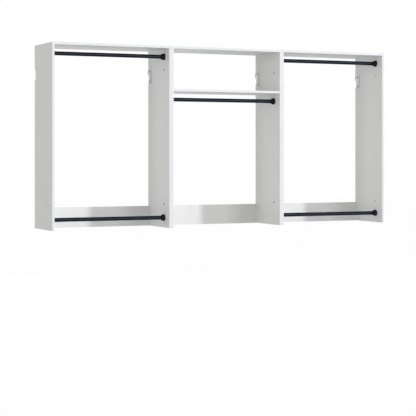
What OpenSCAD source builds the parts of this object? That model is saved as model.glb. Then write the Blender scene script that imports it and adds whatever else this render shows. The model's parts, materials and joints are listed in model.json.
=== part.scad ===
// Wall-hung closet system: three board units bolted side by side and hung from a wall rail.
// X runs along the wall, the front faces -Y, and Y = 0 is the wall.
// Z = 0 is the foot of the units, and X = 0 is the middle of their whole width.
// Sizes are in millimetres.

/* [Units] */
// Width of one unit over its two sides
unit_w = 800; // [500:1:1100]
// Height of the units
unit_h = 1168; // [900:1:2200]
// Depth of the units, edge band included
unit_d = 356; // [300:1:600]
// Thickness of every board
board_t = 15; // [15:0.5:25]
// Thickness of the edge band on the front edges
band_t = 1; // [0.5:0.1:2]
// Rounding along the front corners of the edge band
band_r = 0.45; // [0.1:0.05:0.5]
// Height of the back rail at the foot of each unit
back_rail_h = 130; // [100:1:250]
// Clear height between the top and the shelf of the middle unit
cubby_h = 260; // [240:1:400]
// Distance that the shelf stands back from the front edges
shelf_setback = 0; // [0:1:40]

/* [Rods] */
// Outer diameter of the hanging rods
rod_d = 25; // [20:0.5:32]
// Wall of the rod tube
rod_wall = 1.2; // [0.8:0.1:2.5]
// Distance from the front edges back to the rod axis
rod_setback = 84; // [60:1:150]
// Distance from the underside of a top or shelf down to the rod axis
rod_drop = 50; // [35:1:100]
// Height of the lower rod axis above the foot of its unit
low_rod_rise = 64; // [40:1:100]
// Gap at each end between the rod and the floor of its cup
rod_end_gap = 0.8; // [0.3:0.1:3]
// Radial gap between a rod and its cup
rod_gap = 0.3; // [0.2:0.05:0.6]

/* [Rod cups] */
// Thickness of the cup floor, which lies on the side board
cup_floor_t = 3; // [2.6:0.1:6]
// Height of the cup above the side board
cup_h = 22; // [16:0.5:30]
// Width of the lip round the rod at the mouth
cup_lip_w = 1.6; // [1:0.1:4]
// Distance that the dome spreads beyond the lip on its way down to the side board
cup_spread = 6.6; // [3:0.1:10]
// Height of the straight rim under the dome
cup_rim_t = 5; // [1:0.5:5]
// Diameter of the cup screws
cup_screw_d = 4; // [3:0.5:5]
// Head diameter of the cup screws
cup_screw_head_d = 8; // [6.5:0.5:10]
// Depth of the cup screws in the board
cup_screw_len = 11.5; // [8:0.5:13]

/* [Wall rail notch] */
// Distance from the top of the unit down to the notch
notch_drop = 156; // [60:1:170]
// Height of the notch
notch_h = 63; // [50:1:80]
// Depth of the notch from the rear edge
notch_d = 16; // [12:1:30]

/* [Hanging brackets] */
// Thickness of the bracket plate
bracket_t = 3; // [2:0.5:5]
// Width of the plate in front of the notch
bracket_w = 36; // [28:1:60]
// Height of the bracket above the notch
bracket_over = 22; // [16:1:40]
// Height of the plate below the lower edge of the notch
bracket_under = 8; // [0:1:30]
// Distance that the hook seat hangs below the upper edge of the notch
hook_lead = 1; // [0.5:0.5:4]
// Length of the hook tooth below its seat
hook_tooth_h = 16; // [8:1:30]
// Thickness of the hook tooth
hook_tooth_t = 4; // [2:0.5:6]
// Rounding of the bracket corners
bracket_r = 5; // [2:0.5:7]
// Distance from the notch forward to the bracket screws
bracket_screw_in = 18; // [10:1:22]
// Distance from the upper edge of the notch up to the upper bracket screw
bracket_screw_over = 8; // [7:0.5:12]
// Distance between the two screws of a bracket
bracket_screw_pitch = 64; // [40:1:64]
// Diameter of the bracket screws
bracket_screw_d = 4.5; // [3:0.5:5]
// Head diameter of the bracket screws
bracket_screw_head_d = 9; // [7:0.5:12]
// Head height of the bracket screws
bracket_screw_head_h = 2.8; // [1.5:0.1:4]
// Depth of the bracket screws in the board
bracket_screw_len = 11.5; // [8:0.5:13]

/* [Unit connectors] */
// Diameter of the connector holes in the sides
link_hole_d = 8; // [7:0.5:10]
// Distance from the top and from the foot of a unit to its connector holes
link_from_end = 150; // [100:1:250]
// Distance from the front edges back to the connector holes
link_setback = 84; // [60:1:150]
// Head diameter of the connector bolts and sleeves
link_head_d = 15; // [11:0.5:18]
// Head height of the connector bolts and sleeves
link_head_h = 2; // [1.2:0.1:3]
// Wall of the connector sleeves
link_sleeve_wall = 1; // [0.6:0.1:1.2]
// Length of the bolt shank that lies outside the sleeve
link_bare_len = 6; // [2:0.5:10]

/* [Cam fittings] */
// Diameter of the cam locks
cam_d = 15; // [12:0.5:16]
// Distance from the board end to the cam axis
cam_in = 24; // [20:1:34]
// Distance from the front and rear edges of a board to its cams
cam_edge = 50; // [30:1:80]
// Distance from the upper and lower edges of a back rail to its cams
rail_cam_edge = 32; // [20:1:36]
// Thickness of the cam below the bolt axis
cam_foot = 4.8; // [4:0.1:5.5]
// Shank diameter of the cam bolts
cam_bolt_d = 6; // [5:0.5:7]
// Neck diameter of the cam bolts
cam_neck_d = 3; // [2.5:0.5:4]
// Thread diameter of the cam bolts in the side boards
cam_thread_d = 5; // [4:0.5:6]
// Depth of the thread in the side boards
cam_thread_len = 10; // [8:0.5:11]

/* [Dowels] */
// Diameter of the dowels
dowel_d = 8; // [6:0.5:10]
// Length of a dowel in the side board
dowel_in_side = 10; // [6:0.5:12]
// Length of a dowel in the board that it carries
dowel_in_board = 20; // [12:1:30]
// Distance between a dowel and the cam beside it
dowel_pitch = 32; // [16:1:40]

/* [Clearances] */
// Radial gap round every screw, bolt, cam and dowel in its hole
hole_gap = 0.1; // [0.05:0.05:0.2]
// Gap left past the end of every blind screw, bolt and dowel
blind_gap = 0.5; // [0.2:0.1:1]

/* [Hidden] */
$fn = 64;

// Units, counted from the left, and the two hands of a unit
LEFT_UNIT = 0;
MIDDLE_UNIT = 1;
RIGHT_UNIT = 2;
UNITS = [LEFT_UNIT, MIDDLE_UNIT, RIGHT_UNIT];
LEFT = -1;
RIGHT = 1;
HANDS = [LEFT, RIGHT];
// Which way a cam lock opens: up in a lying board, to the wall in a back rail
CAM_UP = 0;
CAM_TO_WALL = 1;

board_colour = [0.93, 0.93, 0.92];
band_colour = [0.95, 0.96, 0.98];
rod_colour = [0.09, 0.10, 0.13];
bracket_colour = [0.72, 0.73, 0.75];
steel_colour = [0.55, 0.56, 0.58];
cam_colour = [0.66, 0.66, 0.64];
dowel_colour = [0.80, 0.66, 0.45];

// Extra length of a cutting shape past the face that it cuts
cut = 1;
system_w = len(UNITS) * unit_w;
// Height of the hook seats above the foot of the units
seat_z = unit_h - notch_drop - hook_lead;
inner_w = unit_w - 2 * board_t;
board_d = unit_d - band_t;
// Middles of the boards and the rod axes, above the foot of a unit
top_mid_z = unit_h - board_t / 2;
shelf_top_z = unit_h - board_t - cubby_h;
shelf_mid_z = shelf_top_z - board_t / 2;
upper_rod_z = unit_h - board_t - rod_drop;
middle_rod_z = shelf_top_z - board_t - rod_drop;
rod_y = -unit_d + rod_setback;
link_y = -unit_d + link_setback;
link_zs = [link_from_end, unit_h - link_from_end];
// Places of the cams and dowels along the depth of a lying board
lying_cam_ys = [-unit_d + cam_edge, -cam_edge];
lying_dowel_ys = [-unit_d + cam_edge + dowel_pitch, -cam_edge - dowel_pitch];
rail_cam_zs = [rail_cam_edge, back_rail_h - rail_cam_edge];
rail_mid_y = -board_t / 2;
// Cam lock and bolt
cam_depth = board_t / 2 + cam_foot;
cam_head_d = cam_bolt_d;
cam_head_h = 3;
cam_neck_len = 4;
cam_pocket_gap = 0.4;
cam_recess_w = 1.6;
cam_recess_len = cam_d * 0.6;
cam_recess_depth = 2.2;
cam_rim_w = 1;
dowel_chamfer = 1;
// Drives in the screw and connector heads
cup_recess_w = 1;
cup_recess_depth = 1.5;
bracket_recess_w = 1.2;
bracket_recess_depth = 1.6;
link_hex_d = 4.6;
link_slot_w = 1.6;
link_hex_depth = link_head_h * 0.7;
link_slot_depth = link_head_h * 0.6;
// Connectors: bolt shank, and the double wall that they go through
link_shank_d = link_hole_d - 2 * hole_gap - 2 * link_sleeve_wall;
link_wall_w = 2 * board_t;
// Rod cups: the dome is an arc that stands upright at the rim and ends at the lip
cup_bore_r = rod_d / 2 + rod_gap;
cup_mouth_r = cup_bore_r + cup_lip_w;
cup_base_r = cup_mouth_r + cup_spread;
cup_dome_h = cup_h - cup_rim_t;
cup_dome_r = arc_radius(cup_dome_h, cup_spread);
// Domed heads have an upright rim of this share of their height
head_rim = 0.35;
// Bracket, measured from the wall and from the hook seat
bracket_front_y = -notch_d - bracket_w;
bracket_screw_y = -notch_d - bracket_screw_in;
bracket_screw_zs = [hook_lead + bracket_screw_over, hook_lead + bracket_screw_over - bracket_screw_pitch];

// Radius of an arc that starts along one edge and has moved sideways by rise after run
function arc_radius(run, rise) = (run * run + rise * rise) / (2 * rise);

// Places of the fittings, as lists of places on the inner face of a side board
function lying_mids(unit) = unit == MIDDLE_UNIT ? [top_mid_z, shelf_mid_z] : [top_mid_z];
function rod_zs(unit) = unit == MIDDLE_UNIT ? [middle_rod_z] : [upper_rod_z, low_rod_rise];
function lying_cams(mid_z) = [for (y = lying_cam_ys) [y, mid_z, CAM_UP]];
function lying_dowels(mid_z) = [for (y = lying_dowel_ys) [y, mid_z]];
function rail_cams() = [for (z = rail_cam_zs) [rail_mid_y, z, CAM_TO_WALL]];
function rail_dowels() = [[rail_mid_y, back_rail_h / 2]];
function side_cams(unit) =
    concat([for (mid_z = lying_mids(unit), place = lying_cams(mid_z)) place], rail_cams());
function side_dowels(unit) =
    concat([for (mid_z = lying_mids(unit), place = lying_dowels(mid_z)) place], rail_dowels());

// Frames in which the pieces are drawn
module in_unit(unit) {
    translate([unit * unit_w - system_w / 2, 0, 0]) children();
}

// Inner face of a side board at X = 0, with the board at +X and the inside of the unit at -X
module on_side(unit, hand) {
    in_unit(unit)
        translate([hand == RIGHT ? unit_w - board_t : board_t, 0, 0])
            mirror([hand == LEFT ? 1 : 0, 0, 0])
                children();
}

// Turns the Z axis of a turned shape to the inside of the unit
module facing_in() {
    rotate([0, -90, 0]) children();
}

// Turns the Z axis of a turned shape into the side board
module facing_out() {
    rotate([0, 90, 0]) children();
}

module pilot_hole(d, depth) {
    translate([-cut, 0, 0]) facing_out() cylinder(d = d + 2 * hole_gap, h = depth + blind_gap + cut);
}

module cross_recess(width, length, depth) {
    for (turn = [0, 90])
        rotate([0, 0, turn])
            translate([-length / 2, -width / 2, -depth])
                cube([length, width, depth + cut]);
}

// Boards
module side_board(unit, hand) {
    color(board_colour)
        on_side(unit, hand)
            difference() {
                translate([0, -board_d, 0]) cube([board_t, board_d, unit_h]);
                translate([-cut, -notch_d, unit_h - notch_drop - notch_h])
                    cube([board_t + 2 * cut, notch_d + cut, notch_h]);
                for (z = link_zs)
                    translate([-cut, link_y, z]) facing_out() cylinder(d = link_hole_d, h = board_t + 2 * cut);
                for (place = side_cams(unit))
                    translate([0, place[0], place[1]]) pilot_hole(cam_thread_d, cam_thread_len);
                for (place = side_dowels(unit))
                    translate([0, place[0], place[1]]) pilot_hole(dowel_d, dowel_in_side);
                for (z = rod_zs(unit))
                    translate([0, rod_y, z]) pilot_hole(cup_screw_d, cup_screw_len);
                for (z = bracket_screw_zs)
                    translate([0, bracket_screw_y, seat_z + z]) pilot_hole(bracket_screw_d, bracket_screw_len);
            }
}

// Holes at one end of a board, drawn on the side board's inner face
module cam_holes(cams) {
    for (place = cams)
        translate([0, place[0], place[1]]) rotate([-90 * place[2], 0, 0]) {
            facing_in() cylinder(d = cam_bolt_d + 2 * hole_gap, h = cam_in);
            translate([-cam_in, 0, -cam_foot])
                cylinder(d = cam_d + 2 * hole_gap, h = cam_depth + cut);
        }
}

module dowel_holes(dowels) {
    for (place = dowels)
        translate([0, place[0], place[1]])
            facing_in() cylinder(d = dowel_d + 2 * hole_gap, h = dowel_in_board + blind_gap);
}

module lying_board(unit, mid_z, setback) {
    color(board_colour)
        difference() {
            in_unit(unit)
                translate([board_t, -board_d + setback, mid_z - board_t / 2])
                    cube([inner_w, board_d - setback, board_t]);
            for (hand = HANDS)
                on_side(unit, hand) {
                    cam_holes(lying_cams(mid_z));
                    dowel_holes(lying_dowels(mid_z));
                }
        }
}

module back_rail(unit) {
    color(board_colour)
        difference() {
            in_unit(unit) translate([board_t, -board_t, 0]) cube([inner_w, board_t, back_rail_h]);
            for (hand = HANDS)
                on_side(unit, hand) {
                    cam_holes(rail_cams());
                    dowel_holes(rail_dowels());
                }
        }
}

// Edge bands, with their two front corners rounded
module band_profile() {
    translate([0, band_r]) square([board_t, band_t - band_r]);
    translate([band_r, 0]) square([board_t - 2 * band_r, band_t]);
    for (x = [band_r, board_t - band_r])
        translate([x, band_r]) circle(r = band_r);
}

module side_band(unit, hand) {
    color(band_colour)
        on_side(unit, hand) translate([0, -unit_d, 0]) linear_extrude(unit_h) band_profile();
}

module lying_band(unit, mid_z, setback) {
    color(band_colour)
        in_unit(unit)
            translate([board_t, -unit_d + setback, mid_z + board_t / 2])
                rotate([0, 90, 0]) linear_extrude(inner_w) band_profile();
}

// Rods: round tubes that turn in their cups
module rod(unit, z) {
    end_x = board_t + cup_floor_t + rod_end_gap;
    color(rod_colour)
        in_unit(unit)
            translate([end_x, rod_y, z])
                rotate([0, 90, 0])
                    difference() {
                        cylinder(d = rod_d, h = unit_w - 2 * end_x);
                        translate([0, 0, -cut])
                            cylinder(d = rod_d - 2 * rod_wall, h = unit_w - 2 * end_x + 2 * cut);
                    }
}

// Rod cup: a turned dome with a socket for the rod, and a countersunk screw in its floor
module cup_profile() {
    difference() {
        union() {
            square([cup_base_r, cup_rim_t]);
            square([cup_mouth_r, cup_h]);
            intersection() {
                translate([cup_base_r - cup_dome_r, cup_rim_t]) circle(r = cup_dome_r);
                translate([0, cup_rim_t]) square([cup_base_r, cup_dome_h]);
            }
        }
        translate([0, cup_floor_t]) square([cup_bore_r, cup_h]);
    }
}

module countersunk(head_d, shank_d, gap) {
    sink = (head_d - shank_d) / 2;
    translate([0, 0, -sink]) cylinder(d1 = shank_d + 2 * gap, d2 = head_d + 2 * gap, h = sink);
    cylinder(d = head_d + 2 * gap, h = gap);
}

module cup_body() {
    difference() {
        rotate_extrude() cup_profile();
        translate([0, 0, -cut]) cylinder(d = cup_screw_d + 2 * hole_gap, h = cup_floor_t + 2 * cut);
        translate([0, 0, cup_floor_t]) countersunk(cup_screw_head_d, cup_screw_d, hole_gap);
    }
}

module closed_cup(unit, z) {
    color(rod_colour) on_side(unit, RIGHT) translate([0, rod_y, z]) facing_in() cup_body();
}

module open_cup(unit, z) {
    color(rod_colour)
        on_side(unit, LEFT)
            translate([0, rod_y, z])
                difference() {
                    facing_in() cup_body();
                    translate([-cup_h - cut, -cup_bore_r, 0])
                        cube([cup_h + cut - cup_floor_t, 2 * cup_bore_r, cup_base_r + cut]);
                }
}

module cup_screw() {
    point_h = cup_screw_d;
    facing_out() {
        translate([0, 0, -cup_floor_t])
            difference() {
                union() {
                    mirror([0, 0, 1]) countersunk(cup_screw_head_d, cup_screw_d, 0);
                    cylinder(d = cup_screw_d, h = cup_floor_t + cup_screw_len - point_h);
                    translate([0, 0, cup_floor_t + cup_screw_len - point_h])
                        cylinder(d1 = cup_screw_d, d2 = 0, h = point_h);
                }
                mirror([0, 0, 1]) cross_recess(cup_recess_w, cup_screw_head_d / 2, cup_recess_depth);
            }
    }
}

module cup_screws() {
    color(steel_colour)
        for (unit = UNITS, hand = HANDS, z = rod_zs(unit))
            on_side(unit, hand) translate([0, rod_y, z]) cup_screw();
}

// Hanging bracket: a steel plate beside the notch, with a hook that drops behind the wall rail.
// Its outline is drawn in Y and Z, from the wall and from the hook seat.
module rounded_block(low, high, r) {
    translate([low[0] + r, low[1]]) square([high[0] - low[0] - 2 * r, high[1] - low[1]]);
    translate([low[0], low[1] + r]) square([high[0] - low[0], high[1] - low[1] - 2 * r]);
    for (y = [low[0] + r, high[0] - r], z = [low[1] + r, high[1] - r])
        translate([y, z]) circle(r = r);
}

module bracket_outline() {
    top_z = hook_lead + bracket_over;
    foot_z = hook_lead - notch_h - bracket_under;
    seat_r = hook_tooth_t / 2;
    rounded_block([bracket_front_y, foot_z], [-notch_d, top_z], bracket_r);
    rounded_block([bracket_front_y, 0], [0, top_z], bracket_r);
    // The arm keeps its corner square at the seat
    translate([bracket_front_y + bracket_r, 0]) square([-bracket_front_y - bracket_r, top_z - bracket_r]);
    translate([-hook_tooth_t, -hook_tooth_h + seat_r]) square([hook_tooth_t, hook_tooth_h]);
    translate([-seat_r, -hook_tooth_h + seat_r]) circle(r = seat_r);
}

module bracket(unit, hand) {
    color(bracket_colour)
        on_side(unit, hand)
            translate([-bracket_t, 0, seat_z])
                difference() {
                    rotate([90, 0, 90]) linear_extrude(bracket_t) bracket_outline();
                    for (z = bracket_screw_zs)
                        translate([-cut, bracket_screw_y, z])
                            facing_out() cylinder(d = bracket_screw_d + 2 * hole_gap, h = bracket_t + 2 * cut);
                }
}

module domed_head(d, h) {
    r = d / 2;
    dome_r = arc_radius(r, h * (1 - head_rim));
    rotate_extrude()
        intersection() {
            square([r, h]);
            translate([0, h - dome_r]) circle(r = dome_r);
        }
}

module bracket_screw() {
    point_h = bracket_screw_d;
    shank_h = bracket_t + bracket_screw_len - point_h;
    translate([-bracket_t, 0, 0])
        difference() {
            union() {
                facing_in() domed_head(bracket_screw_head_d, bracket_screw_head_h);
                facing_out() cylinder(d = bracket_screw_d, h = shank_h);
                facing_out() translate([0, 0, shank_h]) cylinder(d1 = bracket_screw_d, d2 = 0, h = point_h);
            }
            facing_in()
                translate([0, 0, bracket_screw_head_h])
                    cross_recess(bracket_recess_w, bracket_screw_head_d / 2, bracket_recess_depth);
        }
}

module bracket_screws() {
    color(steel_colour)
        for (unit = UNITS, hand = HANDS, z = bracket_screw_zs)
            on_side(unit, hand) translate([0, bracket_screw_y, seat_z + z]) bracket_screw();
}

// Connectors between neighbouring units: a bolt from the left and a sleeve nut from the right
module at_links() {
    for (unit = [LEFT_UNIT, MIDDLE_UNIT], z = link_zs)
        on_side(unit, RIGHT) translate([0, link_y, z]) children();
}

module connector_bolts() {
    color(steel_colour)
        at_links() {
            difference() {
                facing_in() domed_head(link_head_d, link_head_h);
                translate([-link_head_h - cut, 0, 0])
                    facing_out() cylinder(d = link_hex_d, h = cut + link_hex_depth, $fn = 6);
            }
            facing_out() cylinder(d = link_shank_d - 2 * hole_gap, h = link_wall_w - link_bare_len);
        }
}

module connector_sleeves() {
    color(steel_colour)
        at_links()
            translate([link_wall_w, 0, 0]) {
                difference() {
                    facing_out() domed_head(link_head_d, link_head_h);
                    translate([link_head_h - link_slot_depth, 0, 0])
                        facing_out()
                            translate([-link_head_d / 2, -link_slot_w / 2, 0])
                                cube([link_head_d, link_slot_w, link_head_h]);
                }
                facing_in()
                    difference() {
                        cylinder(d = link_hole_d - 2 * hole_gap, h = link_wall_w - link_bare_len);
                        translate([0, 0, cut])
                            cylinder(d = link_shank_d, h = link_wall_w);
                    }
            }
}

// Cam fittings: an eccentric lock in the lying board and a headed bolt in the side board
module cam_lock() {
    pocket_w = cam_head_d + 2 * cam_pocket_gap;
    slot_w = cam_neck_d + 2 * cam_pocket_gap;
    difference() {
        translate([0, 0, -cam_foot + hole_gap]) cylinder(d = cam_d, h = cam_depth - hole_gap);
        // Pocket for the bolt head, and the narrower way in for its neck
        translate([-cam_head_h, -pocket_w / 2, -pocket_w / 2]) cube([2 * cam_head_h, pocket_w, pocket_w]);
        translate([0, -slot_w / 2, -pocket_w / 2]) cube([cam_d, slot_w, pocket_w]);
        translate([cam_d / 2 - cam_rim_w, -pocket_w / 2, -pocket_w / 2]) cube([cam_d, pocket_w, pocket_w]);
        translate([0, 0, cam_depth - cam_foot]) cross_recess(cam_recess_w, cam_recess_len, cam_recess_depth);
    }
}

module cam_bolt() {
    head_end = cam_in + cam_head_h / 2;
    neck_end = head_end - cam_head_h;
    shank_end = cam_in - cam_d / 2;
    facing_in() {
        cylinder(d = cam_bolt_d, h = shank_end);
        cylinder(d = cam_neck_d, h = neck_end);
        translate([0, 0, neck_end]) cylinder(d = cam_head_d, h = cam_head_h);
    }
    facing_out() cylinder(d = cam_thread_d, h = cam_thread_len);
}

module at_cams() {
    for (unit = UNITS, hand = HANDS, place = side_cams(unit))
        on_side(unit, hand) translate([0, place[0], place[1]]) rotate([-90 * place[2], 0, 0]) children();
}

module cam_locks() {
    color(cam_colour) at_cams() translate([-cam_in, 0, 0]) cam_lock();
}

module cam_bolts() {
    color(steel_colour) at_cams() cam_bolt();
}

module dowel() {
    translate([0, 0, -dowel_in_side]) {
        translate([0, 0, dowel_chamfer])
            cylinder(d = dowel_d, h = dowel_in_side + dowel_in_board - 2 * dowel_chamfer);
        cylinder(d1 = dowel_d - 2 * dowel_chamfer, d2 = dowel_d, h = dowel_chamfer);
        translate([0, 0, dowel_in_side + dowel_in_board - dowel_chamfer])
            cylinder(d1 = dowel_d, d2 = dowel_d - 2 * dowel_chamfer, h = dowel_chamfer);
    }
}

module dowels() {
    color(dowel_colour)
        for (unit = UNITS, hand = HANDS, place = side_dowels(unit))
            on_side(unit, hand) translate([0, place[0], place[1]]) facing_in() dowel();
}

// One module for each sub-part
module left_unit_left_side() { side_board(LEFT_UNIT, LEFT); }
module left_unit_right_side() { side_board(LEFT_UNIT, RIGHT); }
module left_unit_top() { lying_board(LEFT_UNIT, top_mid_z, 0); }
module left_unit_back_rail() { back_rail(LEFT_UNIT); }
module middle_unit_left_side() { side_board(MIDDLE_UNIT, LEFT); }
module middle_unit_right_side() { side_board(MIDDLE_UNIT, RIGHT); }
module middle_unit_top() { lying_board(MIDDLE_UNIT, top_mid_z, 0); }
module middle_unit_shelf() { lying_board(MIDDLE_UNIT, shelf_mid_z, shelf_setback); }
module middle_unit_back_rail() { back_rail(MIDDLE_UNIT); }
module right_unit_left_side() { side_board(RIGHT_UNIT, LEFT); }
module right_unit_right_side() { side_board(RIGHT_UNIT, RIGHT); }
module right_unit_top() { lying_board(RIGHT_UNIT, top_mid_z, 0); }
module right_unit_back_rail() { back_rail(RIGHT_UNIT); }
module left_unit_left_band() { side_band(LEFT_UNIT, LEFT); }
module left_unit_right_band() { side_band(LEFT_UNIT, RIGHT); }
module left_unit_top_band() { lying_band(LEFT_UNIT, top_mid_z, 0); }
module middle_unit_left_band() { side_band(MIDDLE_UNIT, LEFT); }
module middle_unit_right_band() { side_band(MIDDLE_UNIT, RIGHT); }
module middle_unit_top_band() { lying_band(MIDDLE_UNIT, top_mid_z, 0); }
module middle_unit_shelf_band() { lying_band(MIDDLE_UNIT, shelf_mid_z, shelf_setback); }
module right_unit_left_band() { side_band(RIGHT_UNIT, LEFT); }
module right_unit_right_band() { side_band(RIGHT_UNIT, RIGHT); }
module right_unit_top_band() { lying_band(RIGHT_UNIT, top_mid_z, 0); }
module left_upper_rod() { rod(LEFT_UNIT, upper_rod_z); }
module left_lower_rod() { rod(LEFT_UNIT, low_rod_rise); }
module middle_rod() { rod(MIDDLE_UNIT, middle_rod_z); }
module right_upper_rod() { rod(RIGHT_UNIT, upper_rod_z); }
module right_lower_rod() { rod(RIGHT_UNIT, low_rod_rise); }
module left_upper_rod_open_cup() { open_cup(LEFT_UNIT, upper_rod_z); }
module left_upper_rod_closed_cup() { closed_cup(LEFT_UNIT, upper_rod_z); }
module left_lower_rod_open_cup() { open_cup(LEFT_UNIT, low_rod_rise); }
module left_lower_rod_closed_cup() { closed_cup(LEFT_UNIT, low_rod_rise); }
module middle_rod_open_cup() { open_cup(MIDDLE_UNIT, middle_rod_z); }
module middle_rod_closed_cup() { closed_cup(MIDDLE_UNIT, middle_rod_z); }
module right_upper_rod_open_cup() { open_cup(RIGHT_UNIT, upper_rod_z); }
module right_upper_rod_closed_cup() { closed_cup(RIGHT_UNIT, upper_rod_z); }
module right_lower_rod_open_cup() { open_cup(RIGHT_UNIT, low_rod_rise); }
module right_lower_rod_closed_cup() { closed_cup(RIGHT_UNIT, low_rod_rise); }
module left_unit_left_bracket() { bracket(LEFT_UNIT, LEFT); }
module left_unit_right_bracket() { bracket(LEFT_UNIT, RIGHT); }
module middle_unit_left_bracket() { bracket(MIDDLE_UNIT, LEFT); }
module middle_unit_right_bracket() { bracket(MIDDLE_UNIT, RIGHT); }
module right_unit_left_bracket() { bracket(RIGHT_UNIT, LEFT); }
module right_unit_right_bracket() { bracket(RIGHT_UNIT, RIGHT); }

left_unit_left_side();
left_unit_right_side();
left_unit_top();
left_unit_back_rail();
middle_unit_left_side();
middle_unit_right_side();
middle_unit_top();
middle_unit_shelf();
middle_unit_back_rail();
right_unit_left_side();
right_unit_right_side();
right_unit_top();
right_unit_back_rail();
left_unit_left_band();
left_unit_right_band();
left_unit_top_band();
middle_unit_left_band();
middle_unit_right_band();
middle_unit_top_band();
middle_unit_shelf_band();
right_unit_left_band();
right_unit_right_band();
right_unit_top_band();
left_upper_rod();
left_lower_rod();
middle_rod();
right_upper_rod();
right_lower_rod();
left_upper_rod_open_cup();
left_upper_rod_closed_cup();
left_lower_rod_open_cup();
left_lower_rod_closed_cup();
middle_rod_open_cup();
middle_rod_closed_cup();
right_upper_rod_open_cup();
right_upper_rod_closed_cup();
right_lower_rod_open_cup();
right_lower_rod_closed_cup();
left_unit_left_bracket();
left_unit_right_bracket();
middle_unit_left_bracket();
middle_unit_right_bracket();
right_unit_left_bracket();
right_unit_right_bracket();
bracket_screws();
cup_screws();
connector_bolts();
connector_sleeves();
cam_locks();
cam_bolts();
dowels();
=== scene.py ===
import json
import math

import bpy
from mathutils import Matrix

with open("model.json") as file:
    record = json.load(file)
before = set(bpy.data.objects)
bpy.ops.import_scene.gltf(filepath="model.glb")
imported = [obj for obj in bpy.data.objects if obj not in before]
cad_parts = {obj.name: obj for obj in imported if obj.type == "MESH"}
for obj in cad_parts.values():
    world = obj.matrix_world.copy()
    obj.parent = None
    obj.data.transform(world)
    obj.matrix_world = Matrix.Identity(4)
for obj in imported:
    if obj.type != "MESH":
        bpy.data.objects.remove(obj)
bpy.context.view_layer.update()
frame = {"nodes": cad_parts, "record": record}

bpy.ops.object.select_all(action="DESELECT")

# Sizes that the finishes follow, in metres
UNIT_H = 1.168
UNIT_D = 0.356
RAIL_H = 0.130
BAND_T = 0.001
BAND_BACK_Y = -UNIT_D + BAND_T
BORES_BEFORE_Y = -0.030
BEHIND_WALL_Y = 1.0
EDGE_SLACK = 0.0004

# The camera stands left of the middle at the photo's viewing angle, level, with the verticals upright
PICTURE_SIZE = 416
FOCAL_PIXELS = 1333.0
HORIZON_ROW = 151.8
CAMERA_TURN = 24.88
CAMERA_AT = (-3.784, -8.209, 0.489)
SENSOR_W = 36.0
LEVEL = 90.0

# The floor that the hung units would have below them. The camera and reflections see FLOOR_SHOWN of
# its glow and the rest of its own colour and shadow
FLOOR_Z = -0.97
FLOOR_SIZE = 60.0
FLOOR_GLOW = 1.04
FLOOR_SHOWN = 0.9
FLOOR_GREY = (0.80, 0.80, 0.80)
FLOOR_GREY_SHADE = (0.788, 0.788, 0.788)
WHITE = (1.0, 1.0, 1.0)

# Sockets of the Mix node where it mixes colours
MIX_FACTOR, MIX_FIRST, MIX_SECOND = 0, 6, 7
MIX_RESULT = 2

# The value that a noise keeps near, and the fineness of the peel effect
NOISE_MIDDLE = 0.5
PEEL_DETAIL = 2.0


# Nodes of the finishes

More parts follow.
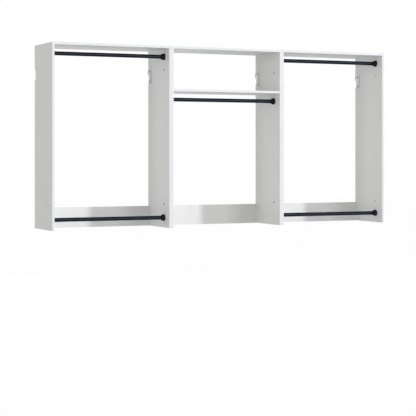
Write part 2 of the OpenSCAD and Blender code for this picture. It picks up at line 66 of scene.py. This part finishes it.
class Finish:
    """One material and short ways to add its nodes."""

    def __init__(self, name):
        self.material = bpy.data.materials.new(name)
        self.material.use_nodes = True
        self.tree = self.material.node_tree
        self.tree.nodes.clear()
        self.shader = self.add("ShaderNodeBsdfPrincipled")
        self.output = self.add("ShaderNodeOutputMaterial")
        self.join(self.shader.outputs[0], self.output.inputs[0])
        coordinates = self.add("ShaderNodeTexCoord")
        self.place = coordinates.outputs["Object"]
        self.normal = coordinates.outputs["Normal"]

    def add(self, kind):
        return self.tree.nodes.new(kind)

    def join(self, start, end):
        self.tree.links.new(start, end)

    def put(self, socket, value):
        if isinstance(value, bpy.types.NodeSocket):
            self.join(value, socket)
        else:
            socket.default_value = value

    def math(self, what, *values, clamp=False):
        node = self.add("ShaderNodeMath")
        node.operation = what
        node.use_clamp = clamp
        for socket, value in zip(node.inputs, values):
            self.put(socket, value)
        return node.outputs[0]

    def sum_of(self, first, second, clamp=False):
        return self.math("ADD", first, second, clamp=clamp)

    def times(self, value, factor):
        return self.math("MULTIPLY", value, factor)

    def scaled(self, value, by, plus):
        return self.math("MULTIPLY_ADD", value, by, plus)

    def all_of(self, *masks):
        result = masks[0]
        for mask in masks[1:]:
            result = self.times(result, mask)
        return result

    def more(self, value, limit):
        return self.math("GREATER_THAN", value, limit)

    def less(self, value, limit):
        return self.math("LESS_THAN", value, limit)

    def size_of(self, value):
        return self.math("ABSOLUTE", value)

    def axes(self, vector):
        node = self.add("ShaderNodeSeparateXYZ")
        self.join(vector, node.inputs[0])
        return node.outputs[0], node.outputs[1], node.outputs[2]

    def stretch(self, vector, scale):
        node = self.add("ShaderNodeMapping")
        self.join(vector, node.inputs["Vector"])
        node.inputs["Scale"].default_value = scale
        return node.outputs[0]

    def noise(self, vector, scale, detail, rough=0.5):
        node = self.add("ShaderNodeTexNoise")
        self.join(vector, node.inputs["Vector"])
        node.inputs["Scale"].default_value = scale
        node.inputs["Detail"].default_value = detail
        node.inputs["Roughness"].default_value = rough
        return node.outputs["Fac"]

    def cells(self, vector, scale, draw=0):
        """One random value for each cell. draw picks one of the three that a cell has."""
        node = self.add("ShaderNodeTexVoronoi")
        self.join(vector, node.inputs["Vector"])
        node.inputs["Scale"].default_value = scale
        return self.axes(node.outputs["Color"])[draw]

    def span(self, value, low, high, new_low, new_high):
        node = self.add("ShaderNodeMapRange")
        node.clamp = True
        self.put(node.inputs["Value"], value)
        node.inputs["From Min"].default_value = low
        node.inputs["From Max"].default_value = high
        node.inputs["To Min"].default_value = new_low
        node.inputs["To Max"].default_value = new_high
        return node.outputs["Result"]

    def ramp(self, value, stops):
        node = self.add("ShaderNodeValToRGB")
        self.join(value, node.inputs[0])
        band = node.color_ramp
        for stop in stops[1:-1]:
            band.elements.new(stop[0])
        for element, (position, colour) in zip(band.elements, stops):
            element.position = position
            element.color = (*colour, 1.0)
        return node.outputs[0]

    def mix(self, factor, first, second):
        node = self.add("ShaderNodeMix")
        node.data_type = "RGBA"
        for index, value in ((MIX_FACTOR, factor), (MIX_FIRST, first), (MIX_SECOND, second)):
            if isinstance(value, tuple):
                value = (*value, 1.0)
            self.put(node.inputs[index], value)
        return node.outputs[MIX_RESULT]

    def bump(self, height, strength, distance):
        node = self.add("ShaderNodeBump")
        node.inputs["Strength"].default_value = strength
        node.inputs["Distance"].default_value = distance
        self.join(height, node.inputs["Height"])
        self.join(node.outputs[0], self.shader.inputs["Normal"])

    def group(self, group, **values):
        node = self.add("ShaderNodeGroup")
        node.node_tree = group
        for name, value in values.items():
            self.put(node.inputs[name], value)
        return node.outputs

    def gloss(self, roughness, specular, metallic=0.0):
        self.put(self.shader.inputs["Roughness"], roughness)
        self.shader.inputs["Specular IOR Level"].default_value = specular
        self.shader.inputs["Metallic"].default_value = metallic

    def colour(self, value):
        self.put(self.shader.inputs["Base Color"], value)


def new_group(name, inputs, outputs):
    """An effect that more than one finish uses, with named inputs and outputs."""
    group = bpy.data.node_groups.new(name, "ShaderNodeTree")
    for title, kind, value in inputs:
        socket = group.interface.new_socket(title, in_out="INPUT", socket_type=kind)
        if value is not None:
            socket.default_value = value
    for title, kind in outputs:
        group.interface.new_socket(title, in_out="OUTPUT", socket_type=kind)
    start = group.nodes.new("NodeGroupInput")
    end = group.nodes.new("NodeGroupOutput")
    return group, start, end


def handling_group():
    """Slow tone drift and faint hand marks, for the colour and the roughness of any finish."""
    group, start, end = new_group(
        "handling",
        [
            ("Place", "NodeSocketVector", None),
            ("Tone", "NodeSocketFloat", 0.02),
            ("Marks", "NodeSocketFloat", 0.06),
        ],
        [("Tone", "NodeSocketFloat"), ("Gloss", "NodeSocketFloat")],
    )
    make, link = group.nodes.new, group.links.new

    def noise(scale, detail):
        node = make("ShaderNodeTexNoise")
        node.inputs["Scale"].default_value = scale
        node.inputs["Detail"].default_value = detail
        link(start.outputs["Place"], node.inputs["Vector"])
        return node.outputs["Fac"]

    def spread(value, amount, title):
        """Moves a noise value to both sides of nothing and scales it."""
        centred = make("ShaderNodeMath")
        centred.operation = "SUBTRACT"
        link(value, centred.inputs[0])
        centred.inputs[1].default_value = NOISE_MIDDLE
        scaled = make("ShaderNodeMath")
        scaled.operation = "MULTIPLY"
        link(centred.outputs[0], scaled.inputs[0])
        link(amount, scaled.inputs[1])
        link(scaled.outputs[0], end.inputs[title])

    spread(noise(scale=3.5, detail=4.0), start.outputs["Tone"], "Tone")
    spread(noise(scale=11.0, detail=6.0), start.outputs["Marks"], "Gloss")
    return group


def peel_group():
    """The fine uneven surface of a pressed, painted or moulded face, as a height."""
    group, start, end = new_group(
        "peel",
        [("Place", "NodeSocketVector", None), ("Grain", "NodeSocketFloat", 900.0)],
        [("Height", "NodeSocketFloat")],
    )
    fine = group.nodes.new("ShaderNodeTexNoise")
    fine.inputs["Detail"].default_value = PEEL_DETAIL
    group.links.new(start.outputs["Place"], fine.inputs["Vector"])
    group.links.new(start.outputs["Grain"], fine.inputs["Scale"])
    group.links.new(fine.outputs["Fac"], end.inputs["Height"])
    return group


HANDLING = handling_group()
PEEL = peel_group()


# Wood chips of the core: how many lie on a metre, how much flatter than long, and what each adds
COARSE_CHIPS = 330.0
FINE_CHIPS = 1023.0
CHIPS_PRESSED = 2.3
COARSE_SHARE, FINE_SHARE, DUST_SHARE = 0.5, 0.35, 0.2
CORE_TONES = (
    (0.1, (0.23, 0.135, 0.065)),
    (0.45, (0.46, 0.32, 0.185)),
    (0.85, (0.62, 0.475, 0.31)),
)


def particle_core(finish, across):
    """Colour and height of the wood chips that show where a board is cut. They lie flat in the
    board, pressed together along the axis across, coarse ones among fine ones."""
    pressed = finish.stretch(finish.place, [CHIPS_PRESSED if axis == across else 1.0 for axis in "xyz"])
    coarse = finish.times(finish.cells(pressed, COARSE_CHIPS, draw=0), COARSE_SHARE)
    fine = finish.times(finish.cells(pressed, FINE_CHIPS, draw=1), FINE_SHARE)
    dust = finish.times(finish.noise(finish.place, scale=1400.0, detail=2.0), DUST_SHARE)
    tone = finish.sum_of(finish.sum_of(coarse, fine), dust)
    return finish.ramp(tone, CORE_TONES), tone


WHITE_FACE = (0.855, 0.858, 0.848)
WHITE_FACE_SHADE = (0.825, 0.828, 0.815)
# Painted shade: a near-black colour for the walls of the bores, where the inside of a hole lies in shade
PAINTED_BORE_SHADE = (0.030, 0.024, 0.018)
FACE_ROUGHNESS = 0.55
CORE_ROUGHER = 0.35
PEEL_SHARE = 0.25

# A surface whose normal has less than this along the board's thickness is a cut edge
CUT_BELOW = 0.5


def board_finish(name, across, foil):
    """White melamine faces, with the bare core on cut edges and painted shade in the bores: a
    near-black colour on their walls in place of the shade inside a hole. across is the axis of the
    board's thickness. foil has rows of an axis, a low and a high place on it, and an edge at or past
    one of those places is covered."""
    finish = Finish(name)
    directions = dict(zip("xyz", finish.axes(finish.normal)))
    places = dict(zip("xyz", finish.axes(finish.place)))
    bare = [finish.less(finish.size_of(directions[across]), CUT_BELOW)]
    for axis, low, high in foil:
        bare.append(finish.more(places[axis], low + EDGE_SLACK))
        bare.append(finish.less(places[axis], high - EDGE_SLACK))
    bare = finish.all_of(*bare)
    core, core_height = particle_core(finish, across)
    # The bare walls of the bores, in front of BORES_BEFORE_Y, get painted shade in place of the core
    # colour
    core = finish.mix(finish.less(places["y"], BORES_BEFORE_Y), core, PAINTED_BORE_SHADE)

    handled = finish.group(HANDLING, Place=finish.place, Tone=0.5, Marks=0.16)
    grain = finish.noise(finish.place, scale=240.0, detail=3.0)
    tone = finish.sum_of(finish.scaled(grain, by=0.25, plus=0.375), handled["Tone"], clamp=True)
    face = finish.mix(tone, WHITE_FACE_SHADE, WHITE_FACE)
    finish.colour(finish.mix(bare, face, core))
    smooth = finish.sum_of(FACE_ROUGHNESS, handled["Gloss"])
    finish.gloss(finish.sum_of(smooth, finish.times(bare, CORE_ROUGHER), clamp=True), specular=0.25)
    peel = finish.group(PEEL, Place=finish.place, Grain=1100.0)["Height"]
    height = finish.sum_of(finish.times(peel, PEEL_SHARE), finish.times(bare, core_height))
    finish.bump(height, strength=0.25, distance=0.0004)
    return finish.material


BAND_WHITE = (0.812, 0.825, 0.845)
BAND_WHITE_SHADE = (0.775, 0.787, 0.806)
BAND_MARKS = (60.0, 900.0, 60.0)
BAND_ROUGHNESS = 0.36
GLUE = (0.42, 0.40, 0.37)
GLUE_FROM_Y = BAND_BACK_Y - 0.0003
GLUE_FULL_Y = BAND_BACK_Y - 0.0001


def band_finish():
    """White plastic edge band, faintly blue, with the glue line where it meets the board."""
    finish = Finish("edge band, white plastic")
    y = finish.axes(finish.place)[1]
    handled = finish.group(HANDLING, Place=finish.place, Tone=0.4, Marks=0.14)
    marks = finish.noise(finish.stretch(finish.place, BAND_MARKS), scale=1.0, detail=2.0)
    tone = finish.sum_of(finish.scaled(marks, by=0.3, plus=0.35), handled["Tone"], clamp=True)
    face = finish.mix(tone, BAND_WHITE_SHADE, BAND_WHITE)
    glue = finish.span(y, GLUE_FROM_Y, GLUE_FULL_Y, new_low=0.0, new_high=0.45)
    finish.colour(finish.mix(glue, face, GLUE))
    finish.gloss(finish.sum_of(BAND_ROUGHNESS, handled["Gloss"]), specular=0.45)
    peel = finish.group(PEEL, Place=finish.place, Grain=1500.0)["Height"]
    finish.bump(peel, strength=0.12, distance=0.0003)
    return finish.material


BLUE_BLACK = (0.0128, 0.0162, 0.024)
BLUE_BLACK_LIGHT = (0.0235, 0.0283, 0.0395)
DARK_RIM = (0.10, 0.11, 0.13)
COAT_TONE = 0.35
ROD_STREAK = (12.0, 420.0, 420.0)
CUP_STREAK = (160.0, 160.0, 160.0)


def coated_finish(name, streak, roughness, unevenness):
    """Blue-black satin coating. streak stretches the marks along the piece."""
    finish = Finish(name)
    handled = finish.group(HANDLING, Place=finish.place, Tone=0.8, Marks=0.10)
    marks = finish.noise(finish.stretch(finish.place, streak), scale=1.0, detail=4.0, rough=0.6)
    rubbed = finish.span(marks, low=0.62, high=0.82, new_low=0.0, new_high=0.5)
    tone = finish.sum_of(finish.sum_of(COAT_TONE, rubbed), handled["Tone"], clamp=True)
    finish.colour(finish.mix(tone, BLUE_BLACK, BLUE_BLACK_LIGHT))
    rough = finish.sum_of(finish.scaled(rubbed, by=0.1, plus=roughness), handled["Gloss"])
    finish.gloss(rough, specular=0.28, metallic=0.92)
    finish.shader.inputs["Specular Tint"].default_value = (*DARK_RIM, 1.0)
    peel = finish.group(PEEL, Place=finish.place, Grain=750.0)["Height"]
    finish.bump(peel, strength=unevenness, distance=0.0004)
    return finish.material


METAL_MARKS = (900.0, 900.0, 60.0)
CRYSTAL_SHARE, ROLLED_SHARE = 0.6, 0.4
CRYSTAL_GLOSS = 0.06


def metal_finish(name, dark, light, spangle, roughness, metallic):
    """Coated, plated or cast metal with crystals, spangle of them to the metre, and fine marks."""
    finish = Finish(name)
    crystal = finish.cells(finish.place, spangle)
    rolled = finish.noise(finish.stretch(finish.place, METAL_MARKS), scale=1.0, detail=3.0)
    handled = finish.group(HANDLING, Place=finish.place, Tone=0.5, Marks=0.2)
    tone = finish.sum_of(finish.times(crystal, CRYSTAL_SHARE), finish.times(rolled, ROLLED_SHARE))
    tone = finish.sum_of(tone, handled["Tone"], clamp=True)
    finish.colour(finish.mix(tone, dark, light))
    rough = finish.span(crystal, 0.0, 1.0, roughness - CRYSTAL_GLOSS, roughness + CRYSTAL_GLOSS)
    finish.gloss(finish.sum_of(rough, handled["Gloss"]), specular=0.5, metallic=metallic)
    finish.bump(rolled, strength=0.15, distance=0.0002)
    return finish.material


BEECH_TONES = (
    (0.25, (0.45, 0.28, 0.15)),
    (0.55, (0.62, 0.43, 0.26)),
    (0.8, (0.70, 0.52, 0.34)),
)
BEECH_PORE = (0.26, 0.15, 0.08)
LONG_GRAIN = (25.0, 900.0, 900.0)
LONG_PORES = (120.0, 2600.0, 2600.0)


def dowel_finish():
    """Bare beech with long grain and pores along the dowel."""
    finish = Finish("dowel, bare beech")
    grain = finish.noise(finish.stretch(finish.place, LONG_GRAIN), scale=1.0, detail=5.0, rough=0.6)
    pores = finish.noise(finish.stretch(finish.place, LONG_PORES), scale=1.0, detail=2.0)
    open_pores = finish.span(pores, low=0.62, high=0.75, new_low=0.0, new_high=0.6)
    finish.colour(finish.mix(open_pores, finish.ramp(grain, BEECH_TONES), BEECH_PORE))
    finish.gloss(finish.span(grain, low=0.3, high=0.8, new_low=0.55, new_high=0.75), specular=0.3)
    finish.bump(grain, strength=0.3, distance=0.0003)
    return finish.material


BANDED_FRONT = ("y", BAND_BACK_Y, BEHIND_WALL_Y)
SIDE_BOARD = board_finish("side board, white melamine", "x", [("z", 0.0, UNIT_H), BANDED_FRONT])
LYING_BOARD = board_finish("top and shelf, white melamine", "z", [BANDED_FRONT])
RAIL_BOARD = board_finish("back rail, white melamine", "y", [("z", 0.0, RAIL_H)])
FINISHES = {
    "edge_band": band_finish(),
    "rod": coated_finish("rod, blue-black satin", ROD_STREAK, roughness=0.20, unevenness=0.05),
    "rod_cup": coated_finish("rod cup, blue-black satin", CUP_STREAK, roughness=0.26, unevenness=0.10),
    "bracket": metal_finish(
        "bracket, zinc-coated sheet",
        dark=(0.375, 0.383, 0.396), light=(0.495, 0.503, 0.519),
        spangle=190.0, roughness=0.42, metallic=0.6,
    ),
    "screw": metal_finish(
        "screw, dark zinc",
        dark=(0.022, 0.023, 0.026), light=(0.055, 0.057, 0.062),
        spangle=900.0, roughness=0.36, metallic=0.9,
    ),
    "connector": metal_finish(
        "connector, nickel plate",
        dark=(0.20, 0.20, 0.20), light=(0.30, 0.30, 0.295),
        spangle=1200.0, roughness=0.32, metallic=0.95,
    ),
    "cam": metal_finish(
        "cam lock, cast zinc",
        dark=(0.46, 0.46, 0.45), light=(0.62, 0.62, 0.60),
        spangle=700.0, roughness=0.48, metallic=0.8,
    ),
    "dowel": dowel_finish(),
}

# The solids get their finishes

slot_of = {part["node"]: part["material_slot"] for part in frame["record"]["subparts"]}
for node, piece in frame["nodes"].items():
    if node.endswith("_side"):
        finish = SIDE_BOARD
    elif node.endswith("_back_rail"):
        finish = RAIL_BOARD
    elif slot_of[node] == "board":
        finish = LYING_BOARD
    else:
        finish = FINISHES[slot_of[node]]
    for slot in piece.material_slots:
        slot.material = finish


# Floor, light and camera

def floor_finish():
    """Pale matt surface that the camera and reflections see lifted towards white."""
    finish = Finish("floor, pale")
    cloud = finish.noise(finish.place, scale=0.6, detail=2.0)
    finish.colour(finish.mix(cloud, FLOOR_GREY_SHADE, FLOOR_GREY))
    finish.gloss(roughness=0.9, specular=0.1)
    path = finish.add("ShaderNodeLightPath")
    seen = finish.math("MAXIMUM", path.outputs["Is Camera Ray"], path.outputs["Is Glossy Ray"])
    seen = finish.math("MAXIMUM", seen, path.outputs["Is Transmission Ray"])
    glow = finish.add("ShaderNodeEmission")
    glow.inputs["Color"].default_value = (*WHITE, 1.0)
    glow.inputs["Strength"].default_value = FLOOR_GLOW
    blend = finish.add("ShaderNodeMixShader")
    finish.join(finish.times(seen, FLOOR_SHOWN), blend.inputs[0])
    finish.join(finish.shader.outputs[0], blend.inputs[1])
    finish.join(glow.outputs[0], blend.inputs[2])
    finish.join(blend.outputs[0], finish.output.inputs[0])
    return finish.material


def make_floor():
    bpy.ops.mesh.primitive_plane_add(size=FLOOR_SIZE, location=(0.0, 0.0, FLOOR_Z))
    floor = bpy.context.object
    floor.name = "floor"
    floor.data.materials.append(floor_finish())
    bpy.ops.object.select_all(action="DESELECT")


def make_world(strength, colour):
    """Soft light from all round, which the camera and reflections see as plain white."""
    world = bpy.data.worlds.new("studio")
    bpy.context.scene.world = world
    world.use_nodes = True
    tree = world.node_tree
    tree.nodes.clear()
    make, link = tree.nodes.new, tree.links.new
    output = make("ShaderNodeOutputWorld")
    soft = make("ShaderNodeBackground")
    white = make("ShaderNodeBackground")
    blend = make("ShaderNodeMixShader")
    soft.inputs["Color"].default_value = (*colour, 1.0)
    soft.inputs["Strength"].default_value = strength
    white.inputs["Color"].default_value = (*WHITE, 1.0)
    path = make("ShaderNodeLightPath")
    seen = path.outputs["Is Camera Ray"]
    for ray in ("Is Glossy Ray", "Is Transmission Ray"):
        either = make("ShaderNodeMath")
        either.operation = "MAXIMUM"
        link(seen, either.inputs[0])
        link(path.outputs[ray], either.inputs[1])
        seen = either.outputs[0]
    link(seen, blend.inputs[0])
    link(soft.outputs[0], blend.inputs[1])
    link(white.outputs[0], blend.inputs[2])
    link(blend.outputs[0], output.inputs[0])


def make_lamp(name, lamp, strength, colour, turn, height):
    """A lamp with its object. turn is the direction it stands in, right of the front, and height the
    angle that it looks down by, both in degrees."""
    lamp.energy = strength
    lamp.color = colour
    item = bpy.data.objects.new(name, lamp)
    bpy.context.scene.collection.objects.link(item)
    item.rotation_euler = (math.radians(LEVEL - height), 0.0, math.radians(turn))
    item.visible_camera = False
    return item


def make_sun(name, turn, height, strength, colour, width):
    """A far lamp that fills an angle of width degrees."""
    lamp = bpy.data.lights.new(name, "SUN")
    lamp.angle = math.radians(width)
    make_lamp(name, lamp, strength, colour, turn, height)


def make_softbox(name, place, turn, size, power, colour):
    """A level lamp with a wide bright face."""
    lamp = bpy.data.lights.new(name, "AREA")
    lamp.shape = "RECTANGLE"
    lamp.size, lamp.size_y = size
    item = make_lamp(name, lamp, power, colour, turn, height=0.0)
    item.location = place


def make_camera():
    lens = bpy.data.cameras.new("camera")
    lens.sensor_width = SENSOR_W
    lens.lens = FOCAL_PIXELS / PICTURE_SIZE * SENSOR_W
    lens.shift_y = (HORIZON_ROW - PICTURE_SIZE / 2) / PICTURE_SIZE
    camera = bpy.data.objects.new("camera", lens)
    bpy.context.scene.collection.objects.link(camera)
    camera.location = CAMERA_AT
    camera.rotation_euler = (math.radians(LEVEL), 0.0, math.radians(-CAMERA_TURN))
    bpy.context.scene.camera = camera


make_floor()
make_world(strength=0.473, colour=(1.0, 0.997, 0.985))
make_sun("key", turn=51.0, height=16.0, strength=1.64, colour=(0.955, 0.98, 1.0), width=4.0)
make_sun("front light", turn=27.0, height=4.0, strength=0.54, colour=(0.99, 0.995, 1.0), width=20.0)
make_sun("left light", turn=-72.0, height=5.0, strength=0.26, colour=(1.0, 0.995, 0.98), width=12.0)
make_softbox("back softbox", place=(0.0, 7.0, 1.2), turn=180.0, size=(6.0, 3.0), power=69.0, colour=WHITE)
make_camera()
bpy.context.scene.view_settings.view_transform = "Standard"
